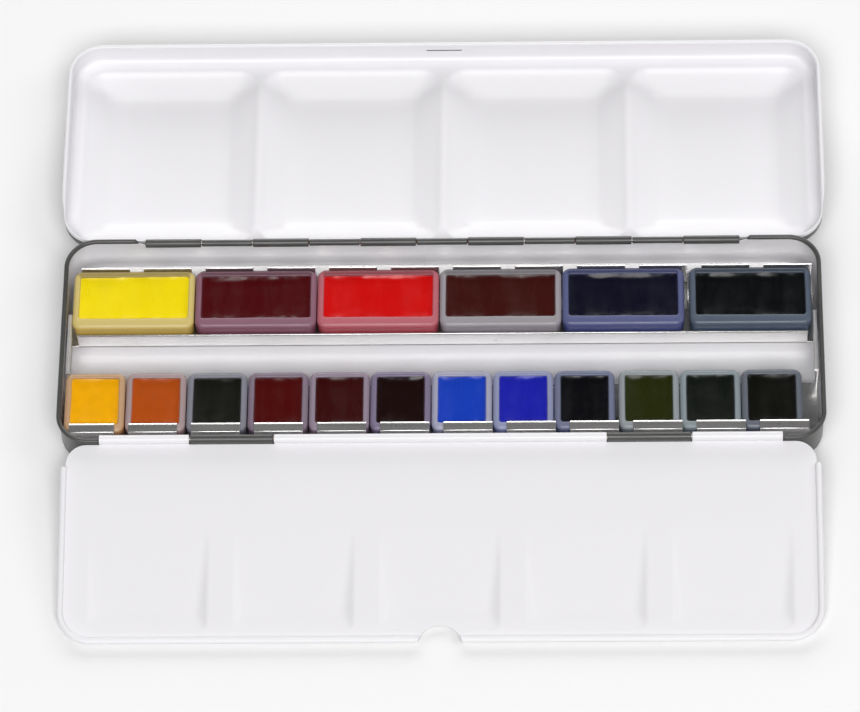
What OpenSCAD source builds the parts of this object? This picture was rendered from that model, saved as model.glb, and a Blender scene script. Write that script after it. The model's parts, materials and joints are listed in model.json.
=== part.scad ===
// Watercolor pan set: an enamelled sheet-metal paint box, opened flat.
// Base tin with a pan rack, six full pans and twelve half pans, a lid with four mixing
// wells on the back hinge and a mixing flap with five wells on the front hinge.
// X runs along the box, +Y points to the lid, +Z up. Z = 0 is the underside of the base.

/* [Base tin] */
// length over the rolled rim
base_length = 208.6; // [120:0.1:320]
// depth over the rolled rim
base_depth = 64.4; // [50:0.1:120]
// height of the rim above the table
base_height = 14; // [10:0.1:25]
// corner radius over the rim
base_corner = 8.8; // [5:0.1:20]
// radius of the rolled rim
rim_radius = 0.65; // [0.5:0.05:1]
// radius of the pressed bottom edge
bottom_edge = 2.6; // [1:0.1:5]

/* [Sheet] */
// thickness of the tinplate
sheet = 0.4; // [0.3:0.05:0.8]

/* [Hinges] */
// distance of both hinge axes from the middle of the box
hinge_reach = 31; // [25:0.1:60]
// height of both hinge axes
hinge_height = 13.1; // [9:0.1:24]
// radius of the lid hinge wire
lid_pin_radius = 0.5; // [0.4:0.05:0.7]
// outer radius of the knuckles rolled on the lid
lid_knuckle_radius = 1.15; // [1:0.05:1.5]
// outer radius of the thin knuckles rolled on the back of the base
back_knuckle_radius = 0.9; // [0.8:0.05:1.2]
// number of knuckles on the lid
lid_knuckles = 6; // [3:1:10]
// distance from one lid knuckle to the next
knuckle_pitch = 29.75; // [20:0.05:40]
// length of one lid knuckle
lid_knuckle_length = 15.3; // [8:0.1:20]
// free play at each end of a knuckle
knuckle_gap = 0.35; // [0.2:0.05:0.6]
// running clearance between a wire and a moving knuckle
running_fit = 0.05; // [0.02:0.01:0.1]
// radius of the flap hinge wire
flap_pin_radius = 0.7; // [0.5:0.05:1]
// outer radius of the knuckles at the front
flap_knuckle_radius = 1.25; // [1:0.05:1.6]
// where the middle knuckle of the flap ends
middle_knuckle_end = 44.9; // [20:0.1:60]
// where the base knuckles at the front end
base_knuckle_end = 67.6; // [40:0.1:80]
// where the outer knuckles of the flap end
outer_knuckle_end = 92.3; // [70:0.1:95]

/* [Lid] */
// length over the rolled edge
lid_length = 212.2; // [120:0.1:330]
// distance from the hinge axis to the far rolled edge
lid_reach = 65.7; // [50:0.1:120]
// corner radius over the rolled edge
lid_corner = 9.8; // [5:0.1:20]
// height of the skirt edge above the hinge axis with the lid open
lid_edge_height = 1; // [0.5:0.1:1.5]
// depth of the lid face below the hinge axis with the lid open
lid_land_depth = 5.7; // [4.5:0.1:10]
// depth of the mixing wells below the lid face
lid_well_depth = 4; // [2:0.1:6]
// radius of the curved well sides
lid_well_curve = 8; // [4:0.1:12]
// width of the ridges between the wells
lid_ridge = 2; // [1.5:0.1:4]
// length of the two middle wells
inner_well_length = 49.9; // [30:0.1:60]
// length of the two outer wells
outer_well_length = 48.4; // [30:0.1:60]

/* [Mixing flap] */
// distance from the hinge axis to the front edge
flap_reach = 57; // [30:0.1:60]
// length over the side lips
flap_length = 205.2; // [120:0.1:320]
// how far the flap hangs below level when it is open
flap_droop = 11.5; // [0:0.1:15]
// radius of the rolled lip
lip_radius = 0.85; // [0.5:0.05:1]
// corner radius at the front
flap_corner = 9; // [3:0.1:15]
// corner radius of the plate near the hinge
flap_back_corner = 5.5; // [2:0.1:10]
// distance from the hinge axis to the start of the side lips
lip_start = 8; // [4:0.1:15]
// number of wells in the flap
flap_wells = 5; // [3:1:7]
// distance from one flap well to the next
flap_well_pitch = 39.2; // [25:0.1:50]
// width of one flap well
flap_well_width = 32.5; // [20:0.1:40]
// depth of the flap wells at the front
flap_well_depth = 1.8; // [1:0.1:2]
// width of the thumb notch
notch_width = 12.2; // [8:0.1:20]
// depth of the thumb notch
notch_depth = 4.9; // [3:0.1:8]

/* [Pan rack] */
// height of the rack plate above the table
rack_height = 3.2; // [2:0.1:5]
// length of the rack plate
rack_length = 205.2; // [120:0.1:320]
// where the rack plate ends at the back
rack_back = 29.6; // [20:0.1:30]
// where the rack plate ends at the front
rack_front = 29.4; // [20:0.1:30]
// number of clips along each row
clips = 12; // [6:1:16]
// width of one clip
clip_width = 13.3; // [5:0.1:15]
// distance from one clip to the next
clip_pitch = 17.1; // [14:0.1:20]
// height of the clips above the table
clip_top = 12.1; // [8:0.1:12.3]
// how far the back clips are shifted along the box from the front ones
back_clip_shift = 2.2; // [0:0.1:4]
// height of the rail behind the open trough
rail_top = 8.9; // [6:0.1:11]
// height of the side ears
ear_top = 11; // [8:0.1:12]

/* [Pans] */
// number of full pans
full_pans = 6; // [1:1:6]
// length of a full pan
full_length = 33.45; // [25:0.05:36]
// depth of a pan from front to back
pan_depth = 18.4; // [14:0.1:20]
// length of a half pan
half_length = 16.45; // [12:0.05:18]
// number of half pans
half_pans = 12; // [1:1:12]
// gap between neighbouring pans
pan_gap = 0.2; // [0.15:0.05:0.5]
// extra gap before the last full pan
full_row_gap = 1.2; // [0:0.1:2]
// extra gap after the ninth half pan
half_row_gap = 0.8; // [0:0.1:2]
// height of the pan rims above the table
pan_top = 12.2; // [9:0.1:12.3]
// width of the pan rim
pan_rim = 1.5; // [1:0.1:2.5]
// thickness of the pan bottom
pan_floor = 1.2; // [0.8:0.1:2]
// corner radius of a pan
pan_corner = 2.4; // [0.8:0.1:3]
// how far the paint lies below the pan rim
paint_recess = 0.9; // [0.3:0.1:3]

/* [Hidden] */
$fn = 64;
eps = 0.01;

wall_inset = rim_radius - 0.1;                 // rim outline to outer wall face
base_x = base_length / 2 - base_corner;        // corner centres of the base
base_y = base_depth / 2 - base_corner;
base_wall = base_corner - wall_inset;          // wall radius in the corners
back_wall_y = base_depth / 2 - wall_inset;     // outer face of the long walls
knuckle_row = (lid_knuckles - 1) * knuckle_pitch + lid_knuckle_length;
back_knuckle_length = knuckle_pitch - lid_knuckle_length - 2 * knuckle_gap;
back_cut_z = hinge_height - lid_knuckle_radius - 0.45;
front_cut_z = hinge_height - flap_knuckle_radius - 0.65;
lid_pin_length = knuckle_row - 1.2;
flap_pin_length = 2 * outer_knuckle_end - 1.2;

lid_rim = 0.6;                                 // radius of the rolled lid edge
lid_wall_inset = 0.75;                         // rolled edge outline to outer wall face
lid_x = lid_length / 2 - lid_corner;           // corner centres of the lid
lid_far = lid_reach - lid_corner;
lid_wall = lid_corner - lid_wall_inset;
hinge_wall = 1.6;                              // hinge axis to the lid's hinge-side wall
lid_near = hinge_wall + lid_wall;
lid_foot = 1.6;                                // outer radius where the skirt meets the face
lid_low_edge = -lid_knuckle_radius - 0.05;     // edge of the hinge-side wall
well_near = 4.5;
well_far = 60.5;

flap_plate_w = -flap_knuckle_radius;           // underside of the flap plate
flap_top_w = flap_plate_w + 0.35;              // upper face of the flap plate
plate_start = 2;                               // plate edge between the flap knuckles
plate_length = 202.6;
flap_x = flap_length / 2 - flap_corner;
flap_y = flap_reach - flap_corner;
lip_w = flap_plate_w + lip_radius;
well_start = 24;
well_deepest = 50;
well_end = 52.8;

window_back = 4;                               // open trough between the two rows
window_front = -8.9;
full_back_y = 23.1;
half_back_y = -9.4;
pan_bottom = rack_height + 0.2;
front_clip_x = -clip_pitch * (clips - 1) / 2 - 1.1;

metal_grey = [0.33, 0.33, 0.32];
enamel_white = [0.93, 0.93, 0.95];
tinplate = [0.78, 0.77, 0.74];
wire = [0.45, 0.4, 0.36];
plastic = [0.78, 0.78, 0.8];
full_colours = [[0.93, 0.85, 0.1], [0.3, 0.02, 0.03], [0.78, 0.06, 0.06], [0.23, 0.08, 0.05],
                [0.07, 0.05, 0.12], [0.02, 0.04, 0.05]];
half_colours = [[0.89, 0.65, 0.04], [0.69, 0.3, 0.1], [0.11, 0.11, 0.09], [0.28, 0.05, 0.05],
                [0.27, 0.08, 0.09], [0.12, 0.05, 0.06], [0.12, 0.27, 0.69], [0.11, 0.1, 0.59],
                [0.05, 0.04, 0.05], [0.16, 0.18, 0.04], [0.09, 0.13, 0.09], [0.08, 0.06, 0.05]];

// ---------- shared shapes ----------

// a flat rounded plate centred on the origin, corner centres at +-x, +-y
module rounded_plate(x, y, r, h) {
    linear_extrude(h) {
        square([2 * x, 2 * (y + r)], center = true);
        square([2 * (x + r), 2 * y], center = true);
        for (i = [-1, 1], j = [-1, 1]) translate([i * x, j * y]) circle(r);
    }
}

// sweeps a profile (x outwards from the corner centre, y up) along one straight wall,
// the wall facing -Y and running from x0 to x1
module wall_run(x0, x1) {
    translate([x1, 0, 0]) rotate([0, 0, -90]) rotate([90, 0, 0])
        linear_extrude(x1 - x0) children();
}

// sweeps the same profile round a corner quarter turn starting at angle a
module wall_turn(a) {
    rotate([0, 0, a]) rotate_extrude(angle = 90) children();
}

// sweeps a profile round the whole rounded rectangle
module wall_ring(x, y) {
    translate([0, -y, 0]) wall_run(-x, x) children();
    rotate([0, 0, 180]) translate([0, -y, 0]) wall_run(-x, x) children();
    rotate([0, 0, 90]) translate([0, -x, 0]) wall_run(-y, y) children();
    rotate([0, 0, -90]) translate([0, -x, 0]) wall_run(-y, y) children();
    translate([x, y, 0]) wall_turn(0) children();
    translate([-x, y, 0]) wall_turn(90) children();
    translate([-x, -y, 0]) wall_turn(180) children();
    translate([x, -y, 0]) wall_turn(270) children();
}

// a sheet-metal angle: wall, curved foot and the strip of floor up to the corner centre
module angle_profile(wall_face, foot, floor_z, top_z) {
    translate([wall_face - sheet, floor_z + foot]) square([sheet, top_z - floor_z - foot]);
    intersection() {
        translate([wall_face - foot, floor_z + foot]) difference() {
            circle(foot);
            circle(foot - sheet);
        }
        translate([wall_face - foot, floor_z]) square(foot);
    }
    translate([0, floor_z]) square([wall_face - foot, sheet]);
}

// a rolled knuckle lying along X, centred at x, with a through bore
module knuckle(x, length, outer, bore) {
    translate([x - length / 2, 0, 0]) rotate([0, 90, 0]) difference() {
        cylinder(r = outer, h = length);
        translate([0, 0, -1]) cylinder(r = bore, h = length + 2);
    }
}

// ---------- base tin ----------

module base_tin() {
    color(metal_grey) {
        difference() {
            union() {
                wall_ring(base_x, base_y) {
                    angle_profile(base_wall, bottom_edge, 0, base_height - rim_radius);
                    translate([base_corner - rim_radius, base_height - rim_radius])
                        circle(rim_radius);
                }
                translate([-base_x, -base_y, 0]) cube([2 * base_x, 2 * base_y, sheet]);
            }
            // rim cut away where the lid knuckles turn, with slanted ends
            translate([0, base_depth / 2 + 1, 0]) rotate([90, 0, 0]) linear_extrude(3)
                polygon([[-knuckle_row / 2 - 0.3, back_cut_z], [knuckle_row / 2 + 0.3, back_cut_z],
                         [knuckle_row / 2 + 0.3, hinge_height - 0.8],
                         [knuckle_row / 2 + 3.2, base_height + 1],
                         [-knuckle_row / 2 - 3.2, base_height + 1],
                         [-knuckle_row / 2 - 0.3, hinge_height - 0.8]]);
            // rim cut away where the flap knuckles turn
            translate([-outer_knuckle_end - knuckle_gap, -base_depth / 2 - 1, front_cut_z])
                cube([2 * (outer_knuckle_end + knuckle_gap), 3, 5]);
        }
        for (i = [0 : lid_knuckles - 2]) {
            x = (i - (lid_knuckles - 2) / 2) * knuckle_pitch;
            difference() {
                union() {
                    translate([x - back_knuckle_length / 2, back_wall_y - sheet, back_cut_z])
                        cube([back_knuckle_length, sheet, hinge_height - back_cut_z]);
                    translate([x - back_knuckle_length / 2, hinge_reach, hinge_height])
                        rotate([0, 90, 0]) cylinder(r = back_knuckle_radius, h = back_knuckle_length);
                }
                translate([x - back_knuckle_length, hinge_reach, hinge_height])
                    rotate([0, 90, 0]) cylinder(r = lid_pin_radius, h = 2 * back_knuckle_length);
            }
        }
        for (side = [-1, 1]) {
            x0 = middle_knuckle_end + knuckle_gap;
            length = base_knuckle_end - x0;
            x = side * (x0 + length / 2);
            difference() {
                union() {
                    translate([x - length / 2, -back_wall_y, front_cut_z])
                        cube([length, sheet, hinge_height - front_cut_z]);
                    translate([x - length / 2, -hinge_reach, hinge_height])
                        rotate([0, 90, 0]) cylinder(r = flap_knuckle_radius, h = length);
                }
                translate([x - length, -hinge_reach, hinge_height])
                    rotate([0, 90, 0]) cylinder(r = flap_pin_radius, h = 2 * length);
            }
        }
    }
}

module lid_hinge_pin() {
    color(wire) translate([-lid_pin_length / 2, hinge_reach, hinge_height])
        rotate([0, 90, 0]) cylinder(r = lid_pin_radius, h = lid_pin_length);
}

module flap_hinge_pin() {
    color(wire) translate([-flap_pin_length / 2, -hinge_reach, hinge_height])
        rotate([0, 90, 0]) cylinder(r = flap_pin_radius, h = flap_pin_length);
}

// ---------- lid ----------

// cross-section of a dished well, its mouth at height 0, thickened by t
module dish_section(width, t) {
    spread = sqrt(2 * lid_well_curve * lid_well_depth - pow(lid_well_depth, 2));
    flat = width / 2 - spread;
    difference() {
        union() {
            translate([-flat, -lid_well_depth - t]) square([2 * flat, lid_well_depth + t + 1]);
            for (side = [-1, 1]) translate([side * flat, lid_well_curve - lid_well_depth])
                circle(lid_well_curve + t);
        }
        translate([-width, 0]) square([2 * width, 2 * lid_well_curve + 10]);
    }
}

// the same well as a solid, centred on the origin
module dish(length, depth, t) {
    intersection() {
        translate([0, depth / 2 + 2, 0]) rotate([90, 0, 0])
            linear_extrude(depth + 4) dish_section(length, t);
        translate([-length / 2 - 2, 0, 0]) rotate([90, 0, 90])
            linear_extrude(length + 4) dish_section(depth, t);
    }
}

module lid_wells(t) {
    for (side = [-1, 1]) {
        inner = side * (lid_ridge + inner_well_length) / 2;
        outer = side * (1.5 * lid_ridge + inner_well_length + outer_well_length / 2);
        translate([inner, (well_near + well_far) / 2, 0])
            dish(inner_well_length, well_far - well_near, t);
        translate([outer, (well_near + well_far) / 2, 0])
            dish(outer_well_length, well_far - well_near, t);
    }
}

module lid() {
    middle = (lid_near + lid_far) / 2;
    half = (lid_far - lid_near) / 2;
    face_z = -lid_land_depth - sheet;
    color(enamel_white) translate([0, hinge_reach, hinge_height]) {
        difference() {
            union() {
                translate([0, middle, 0]) wall_ring(lid_x, half) {
                    angle_profile(lid_wall, lid_foot, face_z, lid_edge_height - lid_rim);
                    translate([lid_corner - lid_rim, lid_edge_height - lid_rim]) circle(lid_rim);
                }
                translate([-lid_x, lid_near, face_z])
                    cube([2 * lid_x, lid_far - lid_near, sheet]);
                translate([0, 0, -lid_land_depth]) lid_wells(sheet);
                // pressed catch on the far skirt
                translate([-5.5, lid_far + lid_wall - sheet - 0.5, -3.2]) cube([11, 0.6, 2]);
            }
            translate([0, 0, -lid_land_depth]) lid_wells(0);
            // skirt cut down along the hinge side
            translate([-lid_length, 0, 0]) rotate([90, 0, 90]) linear_extrude(2 * lid_length)
                polygon([[-4, lid_low_edge], [9, lid_low_edge], [15, lid_edge_height + 0.3],
                         [15, 3], [-4, 3]]);
        }
        for (i = [0 : lid_knuckles - 1]) {
            x = (i - (lid_knuckles - 1) / 2) * knuckle_pitch;
            knuckle(x, lid_knuckle_length, lid_knuckle_radius, lid_pin_radius + running_fit);
            difference() {
                translate([x - lid_knuckle_length / 2, 0, -lid_knuckle_radius])
                    cube([lid_knuckle_length, hinge_wall + sheet, sheet]);
                translate([x - lid_knuckle_length, 0, 0]) rotate([0, 90, 0])
                    cylinder(r = (lid_pin_radius + lid_knuckle_radius) / 2, h = 2 * lid_knuckle_length);
            }
            translate([x - lid_knuckle_length / 2, hinge_wall, lid_low_edge - 0.4])
                cube([lid_knuckle_length, sheet, 0.5]);
        }
    }
}

// ---------- mixing flap ----------

// flap wells: shallow at the hinge, deepest near the front
module flap_well_row(t) {
    intersection() {
        translate([-flap_length, 0, flap_top_w]) rotate([90, 0, 90])
            linear_extrude(2 * flap_length)
            polygon([[-well_start + t, 0], [-well_deepest, -flap_well_depth - t],
                     [-well_end - t, 0]]);
        for (i = [0 : flap_wells - 1])
            translate([(i - (flap_wells - 1) / 2) * flap_well_pitch, 0, flap_top_w])
                rotate([90, 0, 0]) linear_extrude(flap_reach)
                polygon([[-flap_well_width / 2 - t, 0], [flap_well_width / 2 + t, 0],
                         [flap_well_width / 2 - 3 + t, -flap_well_depth - t],
                         [-flap_well_width / 2 + 3 - t, -flap_well_depth - t]]);
    }
}

module mixing_flap() {
    straight = plate_length / 2 - flap_back_corner;
    color(enamel_white) translate([0, -hinge_reach, hinge_height]) rotate([flap_droop, 0, 0]) {
        difference() {
            union() {
                // plate with rounded corners
                translate([0, 0, flap_plate_w]) linear_extrude(0.35) difference() {
                    union() {
                        translate([-straight, -plate_start - flap_back_corner - 1])
                            square([2 * straight, flap_back_corner + 1]);
                        translate([-plate_length / 2, -flap_y])
                            square([plate_length, flap_y - plate_start - flap_back_corner]);
                        for (i = [-1, 1]) {
                            translate([i * straight, -plate_start - flap_back_corner])
                                circle(flap_back_corner);
                            translate([i * flap_x, -flap_y]) circle(flap_corner - lip_radius);
                        }
                        translate([-flap_x, -flap_reach + lip_radius])
                            square([2 * flap_x, flap_corner]);
                        translate([-flap_length / 2 + lip_radius, -flap_y])
                            square([flap_length - 2 * lip_radius, flap_y - lip_start]);
                    }
                }
                // rolled lip round three sides
                for (side = [-1, 1]) {
                    translate([side * (flap_length / 2 - lip_radius), -lip_start, lip_w])
                        rotate([90, 0, 0]) cylinder(r = lip_radius, h = flap_y - lip_start);
                    translate([side * (flap_length / 2 - lip_radius), -lip_start, lip_w])
                        sphere(lip_radius);
                    translate([side * flap_x, -flap_y, lip_w])
                        rotate([0, 0, side > 0 ? 270 : 180]) rotate_extrude(angle = 90)
                        translate([flap_corner - lip_radius, 0]) circle(lip_radius);
                }
                translate([-flap_x, -flap_reach + lip_radius, lip_w]) rotate([0, 90, 0])
                    cylinder(r = lip_radius, h = 2 * flap_x);
                flap_well_row(0.35);
                // strips from the plate to the knuckles
                for (strip = [[-outer_knuckle_end, -base_knuckle_end - knuckle_gap],
                              [-middle_knuckle_end, middle_knuckle_end],
                              [base_knuckle_end + knuckle_gap, outer_knuckle_end]])
                    translate([strip[0], -plate_start - 1, flap_plate_w])
                        cube([strip[1] - strip[0], plate_start + 1, 0.35]);
            }
            flap_well_row(0);
            // thumb notch
            translate([0, -flap_reach - 1.2, -3]) cylinder(r = notch_width / 2, h = 6);
            for (strip = [[-outer_knuckle_end, -base_knuckle_end - knuckle_gap],
                          [-middle_knuckle_end, middle_knuckle_end],
                          [base_knuckle_end + knuckle_gap, outer_knuckle_end]])
                translate([strip[0] - eps, 0, 0]) rotate([0, 90, 0])
                    cylinder(r = 1, h = strip[1] - strip[0] + 2 * eps);
        }
        for (strip = [[-outer_knuckle_end, -base_knuckle_end - knuckle_gap],
                      [-middle_knuckle_end, middle_knuckle_end],
                      [base_knuckle_end + knuckle_gap, outer_knuckle_end]])
            knuckle((strip[0] + strip[1]) / 2, strip[1] - strip[0], flap_knuckle_radius,
                    flap_pin_radius + running_fit);
    }
}

// ---------- pan rack ----------

function front_clip_left(i) = front_clip_x + i * clip_pitch - clip_width / 2;

module pan_rack() {
    rack_corner = 8;
    rack_x = rack_length / 2 - rack_corner;
    rack_y = (rack_back + rack_front) / 2 - rack_corner;
    plate_z = rack_height - sheet;
    color(tinplate) {
        difference() {
            translate([0, (rack_back - rack_front) / 2, plate_z])
                rounded_plate(rack_x, rack_y, rack_corner, sheet);
            translate([-100.4, window_front, plate_z - 1])
                cube([200.8, window_back - window_front, sheet + 2]);
            // openings the clips were bent up from
            for (i = [0 : clips - 1]) {
                translate([front_clip_x + i * clip_pitch - clip_width / 2 + back_clip_shift,
                           full_back_y - 8.4, plate_z - 1]) cube([clip_width, 8.65, sheet + 2]);
                // the end openings stop short of the rounded corners of the rack
                left = max(front_clip_left(i), -98);
                right = min(front_clip_left(i) + clip_width, 98);
                translate([left, half_back_y - pan_depth - 0.25, plate_z - 1])
                    cube([right - left, 8.65, sheet + 2]);
            }
        }
        // clips: behind the full pans and in front of the half pans
        for (i = [0 : clips - 1]) {
            translate([front_clip_x + i * clip_pitch - clip_width / 2 + back_clip_shift,
                       full_back_y + 0.25, plate_z]) cube([clip_width, sheet, clip_top - plate_z]);
            // the first front clip is shorter, clear of the round corner of the tin
            left = max(front_clip_left(i), -100.8);
            translate([left, half_back_y - pan_depth - 0.25 - sheet, plate_z])
                cube([front_clip_left(i) + clip_width - left, sheet, clip_top - plate_z]);
        }
        // edges turned down to the floor
        for (y = [-rack_front, rack_back - sheet])
            translate([-rack_x, y, 0.75]) cube([2 * rack_x, sheet, plate_z - 0.65]);
        // upright rail in front of the full pans
        translate([-100.4, window_back, plate_z]) cube([200.8, sheet, rail_top - plate_z]);
        // side ears with a rolled top, between the end half pans and the back
        for (side = [-1, 1]) {
            translate([side * 102.55 - sheet / 2, -9.1, plate_z])
                cube([sheet, 18.7, ear_top - 0.55 - plate_z]);
            translate([side * 102.2, 9.6, ear_top - 0.55]) rotate([90, 0, 0])
                cylinder(r = 0.55, h = 18.7);
        }
    }
}

// ---------- pans and paints ----------

function full_x(i) = -101.5 + (i - 1) * (full_length + pan_gap) + full_length / 2
                     + (i > 5 ? full_row_gap : 0);
function half_x(i) = -102.4 + (i - 1) * (half_length + pan_gap) + half_length / 2
                     + (i > 9 ? half_row_gap : 0);

module pan(length) {
    color(plastic) difference() {
        translate([0, 0, pan_bottom]) rounded_plate(length / 2 - pan_corner,
            pan_depth / 2 - pan_corner, pan_corner, pan_top - pan_bottom);
        translate([0, 0, pan_bottom + pan_floor]) rounded_plate(length / 2 - pan_rim - 0.4,
            pan_depth / 2 - pan_rim - 0.4, 0.4, pan_top);
    }
}

module cake(length, colour) {
    color(colour) translate([0, 0, pan_bottom + pan_floor])
        rounded_plate(length / 2 - pan_rim - 0.4, pan_depth / 2 - pan_rim - 0.4, 0.4,
                      pan_top - paint_recess - pan_bottom - pan_floor);
}

module full_pan(i) { translate([full_x(i), full_back_y - pan_depth / 2, 0]) pan(full_length); }
module half_pan(i) { translate([half_x(i), half_back_y - pan_depth / 2, 0]) pan(half_length); }
module full_paint(i) {
    translate([full_x(i), full_back_y - pan_depth / 2, 0]) cake(full_length, full_colours[i - 1]);
}
module half_paint(i) {
    translate([half_x(i), half_back_y - pan_depth / 2, 0]) cake(half_length, half_colours[i - 1]);
}

base_tin();
lid();
mixing_flap();
lid_hinge_pin();
flap_hinge_pin();
pan_rack();
for (i = [1 : full_pans]) {
    full_pan(i);
    full_paint(i);
}
for (i = [1 : half_pans]) {
    half_pan(i);
    half_paint(i);
}
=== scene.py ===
"""Looks for the watercolour pan set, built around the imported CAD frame.

Shapes are worked out in millimetres in the CAD frame (X along the box, +Y to the lid, +Z up)
and turned into metres when a mesh is made.
"""
import json
import math
import random

import bpy
import bmesh
from mathutils import Matrix, Vector, noise
from mathutils.geometry import delaunay_2d_cdt


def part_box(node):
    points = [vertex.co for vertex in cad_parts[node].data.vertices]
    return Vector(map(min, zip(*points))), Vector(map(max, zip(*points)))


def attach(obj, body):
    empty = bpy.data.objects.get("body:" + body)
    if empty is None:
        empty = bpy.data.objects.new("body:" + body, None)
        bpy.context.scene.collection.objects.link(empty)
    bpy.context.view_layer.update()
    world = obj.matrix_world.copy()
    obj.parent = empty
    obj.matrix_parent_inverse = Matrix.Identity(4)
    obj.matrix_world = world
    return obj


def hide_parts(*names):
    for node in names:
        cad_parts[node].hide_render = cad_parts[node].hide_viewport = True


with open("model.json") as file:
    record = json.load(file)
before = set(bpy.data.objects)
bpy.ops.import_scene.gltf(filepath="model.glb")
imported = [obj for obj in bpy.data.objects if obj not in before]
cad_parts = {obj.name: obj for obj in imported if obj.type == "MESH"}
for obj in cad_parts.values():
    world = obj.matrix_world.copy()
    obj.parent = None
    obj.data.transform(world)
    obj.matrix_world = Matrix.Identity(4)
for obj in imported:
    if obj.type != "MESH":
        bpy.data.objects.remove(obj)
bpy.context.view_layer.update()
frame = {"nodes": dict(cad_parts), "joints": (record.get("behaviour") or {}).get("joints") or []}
MM = 0.001
JOINT = {joint["name"]: joint for joint in frame["joints"]}


# ------------------------------------------------------------------ sizes

def cad_box(node):
    """Lowest and highest corner of a CAD node, in millimetres."""
    low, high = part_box(node)
    return low / MM, high / MM


BASE_HIGH = cad_box("base_tin")[1]
LID_HIGH = cad_box("lid")[1]
RACK_HIGH = cad_box("pan_rack")[1]
AXIS_Z = JOINT["lid_hinge"]["pos_m"][2] / MM
LID_AXIS = Vector((0, JOINT["lid_hinge"]["pos_m"][1] / MM, AXIS_Z))
FLAP_AXIS = Vector((0, JOINT["flap_hinge"]["pos_m"][1] / MM, AXIS_Z))
DROOP = math.radians(JOINT["flap_hinge"]["range_deg"][1] - 180)

SHEET = 0.4
RIM_TOP = 14.0
BASE_CORNER = 8.8
RIM = 0.65
BOTTOM_EDGE = 2.6
LID_CORNER = 9.8
LID_RIM = 0.6
LID_FOOT = 1.6
LID_FACE = -5.7           # below the hinge axis
LID_WELL = 4.0
LID_KNUCKLE = 1.15
KNUCKLE_PITCH = 29.75
LID_KNUCKLE_LENGTH = 15.3
BACK_KNUCKLE = 0.9
KNUCKLE_GAP = 0.35
FLAP_KNUCKLE = 1.2485
FLAP_SHEET = 0.35
FLAP_REACH = 57.0
FLAP_HALF = 102.6
FLAP_CORNER = 9.0
LIP = 0.85
MIDDLE_KNUCKLE_END = 44.9
BASE_KNUCKLE_END = 67.6
OUTER_KNUCKLE_END = 92.3
RACK_TOP = 3.2
EAR_TOP = 11.0
CLIPS = 12
CLIP_WIDTH = 13.3
CLIP_PITCH = 17.1
BACK_CLIP_SHIFT = 2.2
PAN_WALL = 1.7


# ------------------------------------------------------------------ mesh helpers

def new_piece(name, verts, faces, materials, face_slots=None, sharp=35.0, merge=True):
    """A mesh object from millimetre points, shaded smooth except over sharp angles (degrees)."""
    mesh = bpy.data.meshes.new(name)
    mesh.from_pydata([Vector(v) * MM for v in verts], [], faces)
    for material in materials:
        mesh.materials.append(material)
    if face_slots:
        mesh.polygons.foreach_set("material_index", face_slots)
    work = bmesh.new()
    work.from_mesh(mesh)
    if merge:
        bmesh.ops.remove_doubles(work, verts=work.verts, dist=0.004 * MM)
        bmesh.ops.dissolve_degenerate(work, edges=work.edges, dist=0.002 * MM)
    bmesh.ops.recalc_face_normals(work, faces=work.faces)
    work.to_mesh(mesh)
    work.free()
    mesh.polygons.foreach_set("use_smooth", [True] * len(mesh.polygons))
    mesh.set_sharp_from_angle(angle=math.radians(sharp))
    piece = bpy.data.objects.new(name, mesh)
    bpy.context.scene.collection.objects.link(piece)
    return piece


def mount_piece(piece, body, slot, *nodes):
    """Rides a finished piece on its body and hides the CAD nodes that it stands for."""
    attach(piece, body)
    if nodes:
        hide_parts(*nodes)
    return piece


def join(name, pieces):
    """Joins loose parts of one physical piece into one object."""
    first = pieces[0]
    with bpy.context.temp_override(active_object=first, object=first, selected_objects=pieces,
                                   selected_editable_objects=pieces):
        bpy.ops.object.join()
    first.name = name
    return first


def bevel(piece, width):
    """Rounds the sharp edges of a piece by a width in millimetres."""
    rounded = piece.modifiers.new("edges", "BEVEL")
    rounded.width = width * MM
    rounded.segments = 2
    rounded.limit_method = "ANGLE"
    rounded.angle_limit = math.radians(40)
    rounded.harden_normals = False
    return piece


def arc(centre, radius, start, end, steps):
    """Points on an arc, angles in degrees, both ends included."""
    points = []
    for i in range(steps + 1):
        a = math.radians(start + (end - start) * i / steps)
        points.append((centre[0] + radius * math.cos(a), centre[1] + radius * math.sin(a)))
    return points


def smooth_step(value, low, high):
    t = min(1.0, max(0.0, (value - low) / (high - low)))
    return t * t * (3 - 2 * t)


def soft_min(a, b, blend):
    overlap = max(blend - abs(a - b), 0) / blend
    return min(a, b) - overlap * overlap * blend / 4


def outline(corner_x, corner_y, centre_y, front_breaks=(), back_breaks=(), steps=14):
    """Stations round a rounded rectangle, counter-clockwise from the front left corner.

    A station is (x, y, dx, dy, tag): a point on the line of corner centres and the outward
    direction. Breaks are (x, tag) pairs along the straight front and back walls."""
    stations = [(-corner_x, centre_y - corner_y, 0, -1, "full")]
    stations += [(x, centre_y - corner_y, 0, -1, tag) for x, tag in front_breaks]

    def corner(x, y, start):
        for i in range(steps + 1):
            a = math.radians(start + 90 * i / steps)
            stations.append((x, y, math.cos(a), math.sin(a), "full"))

    corner(corner_x, centre_y - corner_y, -90)
    corner(corner_x, centre_y + corner_y, 0)
    stations.extend((x, centre_y + corner_y, 0, 1, tag) for x, tag in back_breaks)
    corner(-corner_x, centre_y + corner_y, 90)
    corner(-corner_x, centre_y - corner_y, 180)
    return stations[:-1]


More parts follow.
